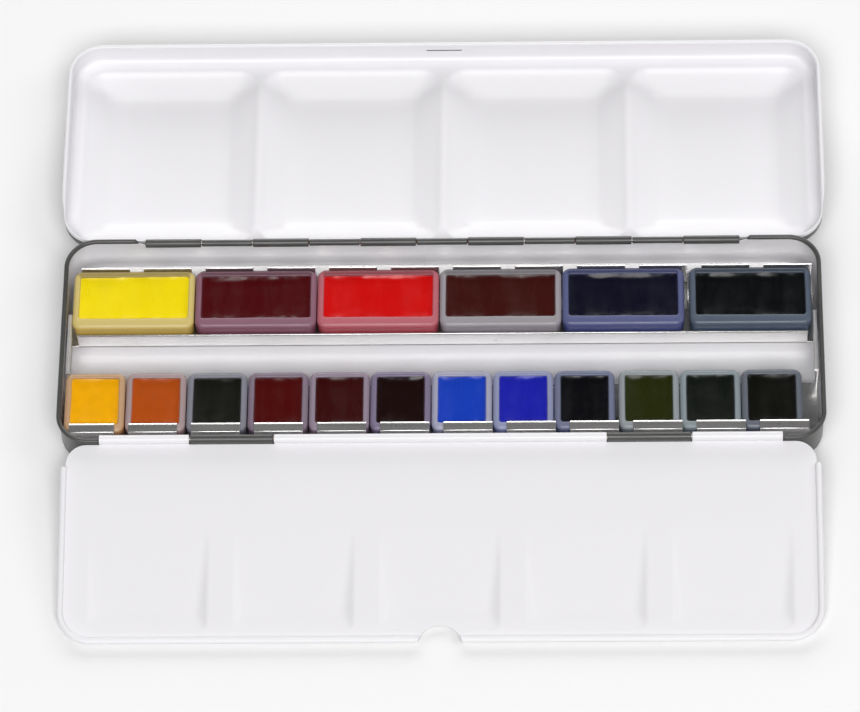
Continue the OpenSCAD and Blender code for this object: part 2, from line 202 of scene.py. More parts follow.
def sweep(stations, profile_at):
    """Sweeps a profile round closed stations. Returns verts, quads, and the two edge rings."""
    verts, rings = [], []
    for station in stations:
        x, y, dx, dy, _ = station
        start = len(verts)
        profile = profile_at(station)
        verts.extend((x + out * dx, y + out * dy, z) for out, z in profile)
        rings.append(list(range(start, start + len(profile))))
    faces, columns = [], []
    for i, ring in enumerate(rings):
        after = rings[(i + 1) % len(rings)]
        for j in range(len(ring) - 1):
            faces.append((ring[j], after[j], after[j + 1], ring[j + 1]))
            columns.append(j)
    first = [ring[0] for ring in rings]
    last = [ring[-1] for ring in rings]
    return verts, faces, columns, first, last


def inside(x, y, loop):
    """Whether a point lies inside a polygon."""
    result = False
    for i, (x1, y1) in enumerate(loop):
        x0, y0 = loop[i - 1]
        if (y1 > y) != (y0 > y) and x < (x0 - x1) * (y - y1) / (y0 - y1) + x1:
            result = not result
    return result


def edge_distance(x, y, loop):
    """Distance from a point to a polygon's outline."""
    best = 1e9
    for i, (x1, y1) in enumerate(loop):
        x0, y0 = loop[i - 1]
        ax, ay = x1 - x0, y1 - y0
        length = ax * ax + ay * ay
        t = 0 if length == 0 else max(0, min(1, ((x - x0) * ax + (y - y0) * ay) / length))
        best = min(best, math.hypot(x - x0 - t * ax, y - y0 - t * ay))
    return best


def filled(loop, xs, ys, margin=0.3):
    """Triangulates the inside of a loop of points through a grid of extra points.
    Returns the flat points (the loop's first) and the triangles."""
    points = [Vector(p) for p in loop]
    low_x, high_x = min(p[0] for p in loop), max(p[0] for p in loop)
    low_y, high_y = min(p[1] for p in loop), max(p[1] for p in loop)
    for x in xs:
        for y in ys:
            if not (low_x < x < high_x and low_y < y < high_y):
                continue
            near = min(x - low_x, high_x - x, y - low_y, high_y - y) < 12
            if near and (not inside(x, y, loop) or edge_distance(x, y, loop) < margin):
                continue
            points.append(Vector((x, y)))
    edges = [(i, (i + 1) % len(loop)) for i in range(len(loop))]
    flat, _, faces, _, _, _ = delaunay_2d_cdt(points, edges, [], 1, 1e-5)
    return [(p.x, p.y) for p in flat], faces


def prism(name, section, x0, x1, materials):
    """A (y, z) section drawn out along X from x0 to x1."""
    count = len(section)
    verts = [(x0, y, z) for y, z in section] + [(x1, y, z) for y, z in section]
    faces = [(i, (i + 1) % count, (i + 1) % count + count, i + count) for i in range(count)]
    faces += [tuple(range(count - 1, -1, -1)), tuple(range(count, 2 * count))]
    return new_piece(name, verts, faces, materials)


# ------------------------------------------------------------------ materials

class Tree:
    """A material whose nodes are added and linked in short calls."""

    def __init__(self, name):
        self.material = bpy.data.materials.new(name)
        self.material.use_nodes = True
        self.tree = self.material.node_tree
        self.shader = self.tree.nodes["Principled BSDF"]
        self.place = self.add("ShaderNodeTexCoord").outputs["Object"]

    def add(self, kind, settings=None, inputs=None):
        node = self.tree.nodes.new(kind)
        for key, value in (settings or {}).items():
            setattr(node, key, value)
        for key, value in (inputs or {}).items():
            self.feed(node.inputs[key], value)
        return node

    def feed(self, socket, value):
        if isinstance(value, bpy.types.NodeSocket):
            self.tree.links.new(value, socket)
        else:
            socket.default_value = value

    def set(self, **values):
        for key, value in values.items():
            self.feed(self.shader.inputs[key.replace("_", " ")], value)

    def noise(self, scale, detail=3.0, roughness=0.5, place=None, distortion=0.0):
        node = self.add("ShaderNodeTexNoise", inputs={
            "Vector": place or self.place, "Scale": scale, "Detail": detail,
            "Roughness": roughness, "Distortion": distortion})
        return node.outputs["Fac"]

    def stretched(self, scale, turn=(0, 0, 0)):
        return self.add("ShaderNodeMapping", inputs={
            "Vector": self.place, "Scale": scale, "Rotation": turn}).outputs["Vector"]

    def ramp(self, value, low, high, start=0.0, end=1.0):
        return self.add("ShaderNodeMapRange", {"interpolation_type": "SMOOTHSTEP"}, {
            "Value": value, "From Min": low, "From Max": high,
            "To Min": start, "To Max": end}).outputs["Result"]

    def math(self, operation, a, b=0.0):
        node = self.add("ShaderNodeMath", {"operation": operation})
        self.feed(node.inputs[0], a)
        self.feed(node.inputs[1], b)
        return node.outputs[0]

    def mix(self, factor, a, b):
        node = self.add("ShaderNodeMix", {"data_type": "RGBA"})
        self.feed(node.inputs["Factor"], factor)
        self.feed(node.inputs["A"], a if isinstance(a, bpy.types.NodeSocket) else (*a, 1.0))
        self.feed(node.inputs["B"], b if isinstance(b, bpy.types.NodeSocket) else (*b, 1.0))
        return node.outputs["Result"]

    def bump(self, height, distance, strength=1.0, onto=None):
        node = self.add("ShaderNodeBump", inputs={
            "Height": height, "Distance": distance * MM, "Strength": strength})
        if onto is not None:
            self.feed(node.inputs["Normal"], onto)
        return node.outputs["Normal"]

    def height(self):
        """Height in the CAD frame, in millimetres."""
        axes = self.add("ShaderNodeSeparateXYZ", inputs={"Vector": self.place})
        return self.math("MULTIPLY", axes.outputs["Z"], 1000.0)

    def specks(self, cell, size, share):
        """Rare small dots: one in a share of the cells, sizes in millimetres."""
        cells = self.add("ShaderNodeTexVoronoi", inputs={
            "Vector": self.place, "Scale": 1000.0 / cell, "Randomness": 1.0})
        near = self.ramp(cells.outputs["Distance"], size / cell * 0.6, size / cell, 1.0, 0.0)
        pick = self.add("ShaderNodeSeparateColor", inputs={"Color": cells.outputs["Color"]})
        chosen = self.math("LESS_THAN", pick.outputs["Red"], share)
        return self.math("MULTIPLY", near, chosen)


WHITE = (0.865, 0.852, 0.878)
GREY = (0.058, 0.058, 0.056)
RUST = (0.12, 0.055, 0.025)


def white_look(kit):
    """Colour and relief of the glossy white enamel."""
    tone = kit.noise(1500.0, 1.0)
    colour = kit.mix(tone, WHITE, tuple(c * 0.993 for c in WHITE))
    colour = kit.mix(kit.specks(16.0, 0.22, 0.35), colour, (0.03, 0.025, 0.02))
    colour = kit.mix(kit.specks(9.0, 0.13, 0.3), colour, (0.12, 0.09, 0.07))
    peel = kit.bump(kit.noise(260.0, 1.0), 0.004, 0.2)
    return colour, peel


def grey_look(kit):
    """Colour of the dark grey enamel, with worn and rusty marks."""
    tone = kit.noise(60.0, 4.0, 0.6)
    colour = kit.mix(kit.ramp(tone, 0.35, 0.7), GREY, tuple(c * 1.25 for c in GREY))
    chips = kit.ramp(kit.noise(330.0, 3.0, 0.6), 0.70, 0.74)
    colour = kit.mix(chips, colour, RUST)
    return kit.mix(kit.specks(11.0, 0.2, 0.3), colour, (0.45, 0.44, 0.42))


def white_enamel():
    kit = Tree("white_enamel")
    colour, relief = white_look(kit)
    rough = kit.ramp(kit.noise(320.0, 2.0), 0.2, 0.85, 0.33, 0.36)
    kit.set(Base_Color=colour, Roughness=rough, Normal=relief, Coat_Weight=0.1,
            Coat_Roughness=0.2, Specular_IOR_Level=0.5)
    return kit.material


def grey_enamel():
    kit = Tree("grey_enamel")
    rough = kit.ramp(kit.noise(90.0, 4.0), 0.3, 0.75, 0.34, 0.48)
    relief = kit.bump(kit.noise(420.0, 2.0), 0.03, 0.5)
    kit.set(Base_Color=grey_look(kit), Roughness=rough, Normal=relief, Coat_Weight=0.2,
            Coat_Roughness=0.25)
    return kit.material


def base_inside():
    """White enamel that gives way to the grey of the rim along a ragged line."""
    kit = Tree("base_inside")
    colour, relief = white_look(kit)
    ragged = kit.math("MULTIPLY", kit.noise(150.0, 4.0, 0.65), 2.6)
    line = kit.math("ADD", kit.height(), ragged)
    edge = kit.ramp(line, RIM_TOP - RIM + 0.75, RIM_TOP - RIM + 0.97)
    colour = kit.mix(edge, colour, grey_look(kit))
    rough = kit.ramp(kit.noise(320.0, 2.0), 0.2, 0.85, 0.30, 0.34)
    kit.set(Base_Color=colour, Roughness=rough, Normal=relief, Coat_Weight=0.3,
            Coat_Roughness=0.15)
    return kit.material


def tinplate(name, gloss, matt):
    """Bare tinplate, finely scratched, with a few dull and brown stains."""
    kit = Tree(name)
    drawn = kit.noise(90.0, 3.0, 0.6, place=kit.stretched((0.12, 4.0, 4.0)))
    dull = kit.ramp(kit.noise(55.0, 3.0, 0.6), 0.4, 0.75)
    colour = kit.mix(dull, (0.86, 0.85, 0.84), (0.78, 0.77, 0.76))
    stain = kit.ramp(kit.noise(120.0, 4.0, 0.6, distortion=0.6), 0.68, 0.80)
    colour = kit.mix(stain, colour, (0.42, 0.33, 0.26))
    rough = kit.ramp(drawn, 0.3, 0.7, gloss, matt)
    relief = kit.bump(drawn, 0.004, 0.15)
    kit.set(Base_Color=colour, Metallic=0.9, Roughness=rough, Normal=relief)
    return kit.material


def hinge_wire():
    kit = Tree("hinge_wire")
    rust = kit.ramp(kit.noise(240.0, 4.0, 0.6), 0.42, 0.62)
    colour = kit.mix(rust, (0.42, 0.39, 0.36), RUST)
    rough = kit.ramp(rust, 0.0, 1.0, 0.35, 0.7)
    relief = kit.bump(kit.noise(900.0, 3.0), 0.03, 0.6)
    kit.set(Base_Color=colour, Metallic=0.8, Roughness=rough, Normal=relief)
    return kit.material


def pan_plastic(name, rim, stained_and_shaded, face):
    """Milky plastic, tinted by its paint along the inner edge, deeper in colour down its face, with
    painted shade darkening its rim towards the back.
    """
    kit = Tree(name)
    stain = kit.add("ShaderNodeAttribute", {"attribute_name": "stain"}).outputs["Fac"]
    down = kit.add("ShaderNodeAttribute", {"attribute_name": "down"}).outputs["Fac"]
    cloud = kit.noise(170.0, 4.0, 0.6)
    patchy = kit.math("MULTIPLY", cloud, 0.5)
    # mixes towards the darker colour for the paint stain along the inner edge and for painted shade on
    # the rim towards the back of the pan
    colour = kit.mix(kit.ramp(kit.math("ADD", stain, patchy), 0.3, 1.3), rim, stained_and_shaded)
    colour = kit.mix(kit.ramp(kit.math("ADD", down, patchy), 0.25, 1.1), colour, face)
    rough = kit.ramp(cloud, 0.3, 0.7, 0.28, 0.42)
    relief = kit.bump(kit.noise(700.0, 2.0), 0.02, 0.4)
    kit.set(Base_Color=colour, Roughness=rough, Normal=relief, Subsurface_Weight=0.25,
            Subsurface_Radius=(1.0, 0.9, 0.8), Subsurface_Scale=0.6 * MM,
            Specular_IOR_Level=0.45)
    return kit.material


def dried_paint(name, colour, thin, seed):
    """Glossy dried watercolour with brush marks, thinner where it climbs the pan."""
    kit = Tree(name)
    turn = (0, 0, math.radians(17 * seed))
    strokes = kit.noise(220.0, 3.0, 0.55, place=kit.stretched((1.0, 0.22, 1.0), turn))
    cloud = kit.noise(130.0 + 7 * seed, 3.0)
    edge = kit.add("ShaderNodeAttribute", {"attribute_name": "edge"}).outputs["Fac"]
    amount = kit.ramp(kit.math("ADD", edge, kit.math("MULTIPLY", cloud, 0.5)), 0.62, 1.25)
    body = kit.mix(kit.ramp(cloud, 0.35, 0.7), colour, tuple(c * 0.94 for c in colour))
    body = kit.mix(amount, body, thin)
    rough = kit.ramp(strokes, 0.3, 0.75, 0.22, 0.36)
    fine = kit.bump(strokes, 0.03, 0.25)
    relief = kit.bump(cloud, 0.12, 0.35, onto=fine)
    kit.set(Base_Color=body, Roughness=rough, Normal=relief, Coat_Weight=0.05,
            Coat_Roughness=0.15, Specular_IOR_Level=0.32)
    return kit.material


# ------------------------------------------------------------------ base tin

def rim_profile(wall_out, wall_in, centre, radius):
    """A rolled rim: from the outer wall round the bead to the inner wall."""
    start = -math.degrees(math.acos(max(-1, min(1, (wall_out - centre[0]) / radius))))
    end = 360 - math.degrees(math.acos(max(-1, min(1, (wall_in - centre[0]) / radius))))
    return arc(centre, radius, start, end, 16)


def base_tin(grey, inside_white):
    half_x = BASE_HIGH.x
    half_y = BASE_HIGH.y
    corner_x, corner_y = half_x - BASE_CORNER, half_y - BASE_CORNER
    wall_out = BASE_CORNER - 0.55
    wall_in = wall_out - SHEET
    bead = (BASE_CORNER - RIM, RIM_TOP - RIM)
    foot = (wall_out - BOTTOM_EDGE, BOTTOM_EDGE)
    back_cut = AXIS_Z - LID_KNUCKLE - 0.45
    front_cut = AXIS_Z - FLAP_KNUCKLE - 0.65

    outer = arc(foot, BOTTOM_EDGE, -90, 0, 7)
    rim = rim_profile(wall_out, wall_in, bead, RIM)
    crease = [(wall_out - 0.04, rim[0][1] - 0.03)]
    inner_crease = [(wall_in + 0.03, rim[-1][1] - 0.03)]
    inner = arc(foot, BOTTOM_EDGE - SHEET, 0, -90, 7)
    profile = outer + crease + rim + inner_crease + inner
    top = len(outer) + 1 + len(rim) // 2

    def profile_at(station):
        tag = station[4]
        if tag == "full":
            return profile
        cut = {"bare": crease[0][1], "back": back_cut, "front": front_cut}[tag]
        points = []
        for j, (out, z) in enumerate(profile):
            if z > cut:
                out, z = (wall_out if j < top else wall_in), cut
            points.append((out, z))
        return points

    knuckle_row = 5 * KNUCKLE_PITCH + LID_KNUCKLE_LENGTH
    back_low = knuckle_row / 2 + 0.3
    back_bare = knuckle_row / 2 + 2.1
    back_high = knuckle_row / 2 + 2.9
    front_end = OUTER_KNUCKLE_END + KNUCKLE_GAP
    front_breaks = [(-front_end, "full"), (-front_end, "front"),
                    (front_end, "front"), (front_end, "full")]
    back_breaks = [(back_high, "full"), (back_bare, "bare"), (back_low, "back"),
                   (-back_low, "back"), (-back_bare, "bare"), (-back_high, "full")]
    stations = outline(corner_x, corner_y, 0, front_breaks, back_breaks)
    verts, faces, _, first, last = sweep(stations, profile_at)
    switch = len(outer) + 1 + len(rim) - 2
    slots = []
    for i, station in enumerate(stations):
        cut_away = station[4] in ("bare", "back") and stations[i + 1][4] in ("bare", "back")
        white_from = len(outer) + 1 if cut_away else switch
        slots += [0 if j < white_from else 1 for j in range(len(profile) - 1)]
    faces += [tuple(reversed(first)), tuple(last)]
    slots += [0, 1]
    shell = new_piece("base_shell", verts, faces, [grey, inside_white], slots)

    knuckles = []
    leaf_out, leaf_in = half_y - 0.55, half_y - 0.55 - SHEET
    length = KNUCKLE_PITCH - LID_KNUCKLE_LENGTH - 2 * KNUCKLE_GAP
    section = curl(LID_AXIS.y, AXIS_Z, BACK_KNUCKLE, 0.55, leaf_out, leaf_in, back_cut - 0.2)
    for i in range(5):
        x = (i - 2) * KNUCKLE_PITCH
        knuckles.append(prism(f"back_knuckle_{i}", section, x - length / 2, x + length / 2, [grey]))
    section = [(-y, z) for y, z in
               curl(-FLAP_AXIS.y, AXIS_Z, FLAP_KNUCKLE, 0.78, leaf_out, leaf_in, front_cut - 0.2)]
    near = MIDDLE_KNUCKLE_END + KNUCKLE_GAP
    for side in (-1, 1):
        ends = sorted((side * near, side * BASE_KNUCKLE_END))
        knuckles.append(prism(f"front_knuckle_{side}", section, ends[0], ends[1], [grey]))
    rolled = bevel(join("base_knuckles", knuckles), 0.09)
    mount_piece(shell, "base", "grey_enamel", "base_tin")
    mount_piece(rolled, "base", "grey_enamel", "base_tin")


def curl(y, z, outer, inner, leaf_out, leaf_in, leaf_low):
    """Section of a wall whose top is rolled into a knuckle, curling back inside the wall."""
    low_out = -math.degrees(math.acos((leaf_out - y) / outer))
    low_in = -math.degrees(math.acos((leaf_in - y) / inner))
    end = 360 - math.degrees(math.acos(max(-1, (leaf_in - y - 0.12) / outer)))
    section = [(leaf_out, leaf_low)]
    section += arc((y, z), outer, low_out, end, 26)
    section += arc((y, z), inner, end, low_in, 24)
    section += [(leaf_in, leaf_low)]
    return section


# ------------------------------------------------------------------ lid

def well_depth(x, y, well):
    """Depth of a pressed well, with a steep crest and sloping sides, at a point of the lid."""
    x0, x1, y0, y1 = well
    corner = 5.5
    qx = abs(x - (x0 + x1) / 2) - (x1 - x0) / 2 + corner
    qy = abs(y - (y0 + y1) / 2) - (y1 - y0) / 2 + corner
    if qx > 0 or qy > 0:
        distance = corner - math.hypot(max(qx, 0), max(qy, 0))
    else:
        distance = corner + max(0.0, soft_min(-qx, -qy, 3.0))
    distance = -soft_min(-distance, 0.0, 0.9)
    crest = 0.4 * (1 - math.exp(-distance / 0.5))
    return soft_min(LID_WELL, crest + 0.42 * distance, 0.8)


def lid(grey, white):
    half_x = LID_HIGH.x
    reach = LID_HIGH.y - LID_AXIS.y
    wall_out, wall_in = LID_CORNER - 0.75, LID_CORNER - 0.75 - SHEET
    near = 1.6 + wall_out
    far = reach - LID_CORNER
    corner_x = half_x - LID_CORNER
    foot = (wall_out - LID_FOOT, LID_FACE - SHEET + LID_FOOT)
    low_edge = -LID_KNUCKLE - 0.05

    def profile_at(station):
        y = station[1] + wall_out * station[3] - LID_AXIS.y
        rise = smooth_step(y, 8.6, 15.0)
        roll = smooth_step(y, 10.5, 16.0)
        bead_radius = SHEET / 2 + (LID_RIM - SHEET / 2) * roll
        bead_out = (wall_out + wall_in) / 2 + (LID_CORNER - LID_RIM - (wall_out + wall_in) / 2) * roll
        edge = low_edge + (1.0 - low_edge) * rise
        rim = rim_profile(wall_out, wall_in, (bead_out, edge - bead_radius), bead_radius)
        outer = arc(foot, LID_FOOT, -90, 0, 6)
        outer += [(wall_out, rim[0][1] - 1.3), (wall_out, rim[0][1] - 0.06)]
        inner = [(wall_in, rim[-1][1] - 0.06)] + arc(foot, LID_FOOT - SHEET, 0, -90, 6)
        return [(out, z + AXIS_Z) for out, z in outer + rim + inner]

    middle = LID_AXIS.y + (near + far) / 2
    half = (far - near) / 2
    catch = [5.5, 4.9, -4.9, -5.5]
    stations = outline(corner_x, half, middle, (), [(x, "full") for x in catch])
    stations = add_side_stations(stations, 12)
    verts, faces, columns, outer_ring, inner_ring = sweep(stations, profile_at)
    slots = [0 if j < 7 else 1 for j in columns]
    press_catch(verts, LID_AXIS.y + far + wall_in)

    wells = []
    well_near, well_far = LID_AXIS.y + 4.3, LID_AXIS.y + 60.5
    for x0, x1 in ((1.0, 50.9), (52.9, 101.3)):
        wells.append((x0, x1, well_near, well_far))
        wells.append((-x1, -x0, well_near, well_far))
    offsets = (-0.9, -0.5, -0.2, 0.1, 0.4, 0.7, 1.1, 1.7, 2.6, 3.8, 5.2, 6.3, 6.9, 7.5, 8.2)
    xs = {round(x0 + 11 + 2.7 * i, 3) for x0, _, _, _ in wells for i in range(11)}
    for x0, x1, _, _ in wells:
        xs |= {round(x0 + o, 3) for o in offsets} | {round(x1 - o, 3) for o in offsets}
    ys = sorted({round(well_near + o, 3) for o in offsets} | {round(well_far - o, 3) for o in offsets}
                | {round(well_near + 11 + 2.7 * i, 3) for i in range(13)})
    for ring, drop, slot_index in ((inner_ring, 0.0, 1), (outer_ring, -SHEET, 0)):
        loop = [(verts[i][0], verts[i][1]) for i in ring]
        flat, triangles = filled(loop, sorted(xs), ys)
        start = len(verts)
        for k, (x, y) in enumerate(flat):
            depth = max(well_depth(x, y, well) for well in wells) if k >= len(loop) else 0.0
            verts.append((x, y, AXIS_Z + LID_FACE + drop - depth))
        faces += [tuple(start + i for i in triangle) for triangle in triangles]
        slots += [slot_index] * len(triangles)
    shell = new_piece("lid_shell", verts, faces, [grey, white], slots)

    knuckles = []
    section = lid_curl()
    for i in range(6):
        x = (i - 2.5) * KNUCKLE_PITCH
        knuckles.append(prism(f"lid_knuckle_{i}", section, x - LID_KNUCKLE_LENGTH / 2,
                              x + LID_KNUCKLE_LENGTH / 2, [grey]))
    rolled = bevel(join("lid_knuckles", knuckles), 0.12)
    mount_piece(shell, "lid", "white_enamel", "lid")
    mount_piece(rolled, "lid", "grey_enamel", "lid")


def add_side_stations(stations, count):
    """Puts extra stations along the two straight ends, where the skirt changes height."""
    result = []
    for i, station in enumerate(stations):
        result.append(station)
        after = stations[(i + 1) % len(stations)]
        if station[2] == after[2] and abs(station[2]) == 1 and station[1] != after[1]:
            for k in range(1, count):
                y = station[1] + (after[1] - station[1]) * k / count
                result.append((station[0], y, station[2], station[3], station[4]))
    return result


def press_catch(verts, wall_y):
    """Presses a short catch inwards on the far skirt of the lid."""
    for i, (x, y, z) in enumerate(verts):
        if abs(x) <= 5.0 and abs(y - wall_y) < 1.2 and AXIS_Z - 3.6 < z < AXIS_Z - 0.4:
            verts[i] = (x, y - 0.5, z)


def lid_curl():
    """Section of a lid knuckle and the leaf that joins it to the lid's hinge-side wall."""
    y, z = LID_AXIS.y, AXIS_Z
    outer, inner = LID_KNUCKLE, LID_KNUCKLE - 0.42
    section = [(y + 1.98, z - 1.6), (y + 1.62, z - 1.6), (y + 1.62, z - outer)]
    section += arc((y, z), outer, -90, -325, 26)
    section += arc((y, z), inner, -325, -90, 24)
    section += [(y + 1.75, z - inner), (y + 1.98, z - inner - 0.23)]
    return section


# ------------------------------------------------------------------ mixing flap

def on_flap(x, u, w):
    """A point of the flap at rest: u outwards from the hinge axis, w above the axis."""
    return (x, FLAP_AXIS.y - u * math.cos(DROOP) - w * math.sin(DROOP),
            AXIS_Z - u * math.sin(DROOP) + w * math.cos(DROOP))


def flap_well_depth(x, u):
    """Depth of the five wedge-shaped wells, which deepen towards the front."""
    pitch, width, start, deepest, end, depth = 39.2, 32.5, 24.0, 50.0, 54.0, 1.7
    across = x - pitch * max(-2, min(2, round(x / pitch)))
    corner = 3.2
    qx = abs(across) - width / 2 + corner
    qu = (u - end) + corner
    distance = corner - math.hypot(max(qx, 0), max(qu, 0)) - min(max(qx, qu), 0)
    ramp = soft_min(depth * (u - start) / (deepest - start), 0.32 * (end - u), 0.8)
    return max(0.0, -soft_min(-soft_min(ramp, 0.55 * distance, 0.5), 0.0, 0.12) - 0.03)


def mixing_flap(white):
    bottom = -FLAP_KNUCKLE
    top = bottom + FLAP_SHEET
    lip_w = -0.4
    lip_start = 8.0
    corner_x = FLAP_HALF - FLAP_CORNER
    corner_u = FLAP_REACH - FLAP_CORNER
    lip_a = FLAP_CORNER - LIP

    # the rolled lip runs down one side, along the front and up the other side
    spine = [(-corner_x, lip_start + (corner_u - lip_start) * i / 6, -1.0, 0.0) for i in range(6)]
    for x, start in ((-corner_x, 180), (corner_x, 90)):
        for i in range(13):
            a = math.radians(start - 90 * i / 12)
            spine.append((x, corner_u, math.cos(a), math.sin(a)))
    spine += [(corner_x, corner_u + (lip_start - corner_u) * i / 6, 1.0, 0.0) for i in range(1, 7)]
    bead = arc((lip_a, lip_w), LIP, 190, -90, 20)
    verts, rings = [], []
    for x, u, dx, du in spine:
        # the plate rises into the lip along a fillet that is wider at the two sides
        foot = lip_a - LIP - 0.55 - 2.2 * dx * dx
        rise = bead[0][0] - foot
        profile = [(foot, top), (foot + 0.45 * rise, top + 0.03), (foot + 0.8 * rise, top + 0.13)]
        profile += bead + [(foot, bottom)]
        rings.append(range(len(verts), len(verts) + len(profile)))
        verts += [(x + a * dx, u + a * du, w) for a, w in profile]
    faces = []
    for ring, after in zip(rings, rings[1:]):
        faces += [(ring[j], after[j], after[j + 1], ring[j + 1]) for j in range(len(profile) - 1)]
    faces += [tuple(rings[0]), tuple(reversed(rings[-1]))]

    # plate outline: inner edge of the lip, then the free edges beside the hinge
    back, plate_start, plate_half = 5.5, 1.2, 101.3
    loop = [(verts[ring[0]][0], verts[ring[0]][1]) for ring in rings]
    free = [(plate_half, lip_start)]
    free += [(plate_half - back + x, plate_start + back - u)
             for x, u in arc((0, 0), back, 0, 90, 8)]
    free += [(-x, u) for x, u in reversed(free)]
    loop += free
    offsets = (-0.6, 0, 0.6, 1.2, 1.9, 2.7, 3.6, 4.6)
    xs = sorted({round(39.2 * i + way * (16.25 - o), 3)
                 for i in range(-2, 3) for way in (-1, 1) for o in offsets}
                | {39.2 * i + 5.0 * k for i in range(-2, 3) for k in (-1, 0, 1)})
    us = sorted({3.5, 6.0, 9.0, 13.0, 17.0, 21.0, 54.4} | {23.0 + 1.5 * i for i in range(17)}
                | {48.0 + 0.6 * i for i in range(10)})
    for w, down in ((top, True), (bottom, False)):
        flat, triangles = filled(loop, xs, us, 0.25)
        start = len(verts)
        verts += [(x, u, w - (flap_well_depth(x, u) if k >= len(loop) else 0.0))
                  for k, (x, u) in enumerate(flat)]
        faces += [tuple(start + i for i in triangle) for triangle in triangles]
        edge = [start + len(rings) - 1 + i for i in range(len(free) + 1)] + [start]
        if down:
            upper = edge
        else:
            faces += [(upper[i], upper[i + 1], edge[i + 1], edge[i]) for i in range(len(edge) - 1)]
    plate = new_piece("flap_plate", [on_flap(*v) for v in verts], faces, [white], sharp=40)
    cut_notch(plate)

    parts = [plate]
    for side in (-1, 1):
        dome, cap = [], []
        for i in range(7):
            t = math.radians(15 * i)
            for x, w in arc((side * (corner_x + lip_a), lip_w), LIP * math.cos(t), 0, 345, 23):
                dome.append(on_flap(x, lip_start + 0.1 - LIP * 0.8 * math.sin(t), w))
        for i in range(6):
            cap += [(24 * i + j, 24 * i + (j + 1) % 24, 24 * (i + 1) + (j + 1) % 24,
                     24 * (i + 1) + j) for j in range(24)]
        cap.append(tuple(range(24)))
        parts.append(new_piece(f"lip_end_{side}", dome, cap, [white]))
    plate = join("flap_plate", parts)

    knuckles = []
    section = [(2.4, bottom + 0.004), (0.0, bottom)]
    section += arc((0, 0), FLAP_KNUCKLE, -90, -402, 28)
    section += arc((0, 0), FLAP_KNUCKLE - FLAP_SHEET, -402, -90, 26)
    section += [(2.4, top - 0.004)]
    for x0, x1 in ((-OUTER_KNUCKLE_END, -BASE_KNUCKLE_END - KNUCKLE_GAP),
                   (-MIDDLE_KNUCKLE_END, MIDDLE_KNUCKLE_END),
                   (BASE_KNUCKLE_END + KNUCKLE_GAP, OUTER_KNUCKLE_END)):
        world = [on_flap(0, u, w)[1:] for u, w in section]
        knuckles.append(prism(f"flap_knuckle_{len(knuckles)}", world, x0, x1, [white]))
    rolled = bevel(join("flap_knuckles", knuckles), 0.1)
    mount_piece(plate, "flap", "white_enamel", "mixing_flap")
    mount_piece(rolled, "flap", "white_enamel", "mixing_flap")


def cut_notch(plate):
    """Cuts the round thumb notch through the front lip."""
    x_radius = 6.1
    ring = arc((0, FLAP_REACH + 1.2), x_radius, 0, 350, 47)
    verts = [on_flap(x, u, w) for w in (-4.0, 3.0) for x, u in ring]
    count = len(ring)
    faces = [(i, (i + 1) % count, (i + 1) % count + count, i + count) for i in range(count)]
    faces += [tuple(range(count - 1, -1, -1)), tuple(range(count, 2 * count))]
    cutter = new_piece("notch_cutter", verts, faces, plate.data.materials)
    cut = plate.modifiers.new("notch", "BOOLEAN")
    cut.object = cutter
    cut.operation = "DIFFERENCE"
    cut.solver = "EXACT"
    depsgraph = bpy.context.evaluated_depsgraph_get()
    mesh = bpy.data.meshes.new_from_object(plate.evaluated_get(depsgraph))
    plate.modifiers.clear()
    plate.data = mesh
    bpy.data.objects.remove(cutter)
    mesh.polygons.foreach_set("use_smooth", [True] * len(mesh.polygons))
    mesh.set_sharp_from_angle(angle=math.radians(40))


# ------------------------------------------------------------------ pan rack

def pierced_plate(name, loop, holes, z0, z1, material):
    """A flat sheet with an outline and rectangular holes (x0, x1, y0, y1)."""
    rings = [list(loop)] + [[(x0, y0), (x1, y0), (x1, y1), (x0, y1)] for x0, x1, y0, y1 in holes]
    points, edges, spans = [], [], []
    for ring in rings:
        start = len(points)
        points += [Vector(p) for p in ring]
        spans.append((start, len(ring)))
        edges += [(start + i, start + (i + 1) % len(ring)) for i in range(len(ring))]
    flat, _, triangles, _, _, _ = delaunay_2d_cdt(points, edges, [], 1, 1e-5)
    kept = []
    for triangle in triangles:
        x = sum(flat[i].x for i in triangle) / 3
        y = sum(flat[i].y for i in triangle) / 3
        if not any(x0 < x < x1 and y0 < y < y1 for x0, x1, y0, y1 in holes):
            kept.append(tuple(triangle))
    count = len(flat)
    verts = [(p.x, p.y, z) for z in (z1, z0) for p in flat]
    faces = kept + [tuple(count + i for i in reversed(t)) for t in kept]
    for start, size in spans:
        for i in range(size):
            a, b = start + i, start + (i + 1) % size
            faces.append((a, b, b + count, a + count))
    return new_piece(name, verts, faces, [material])


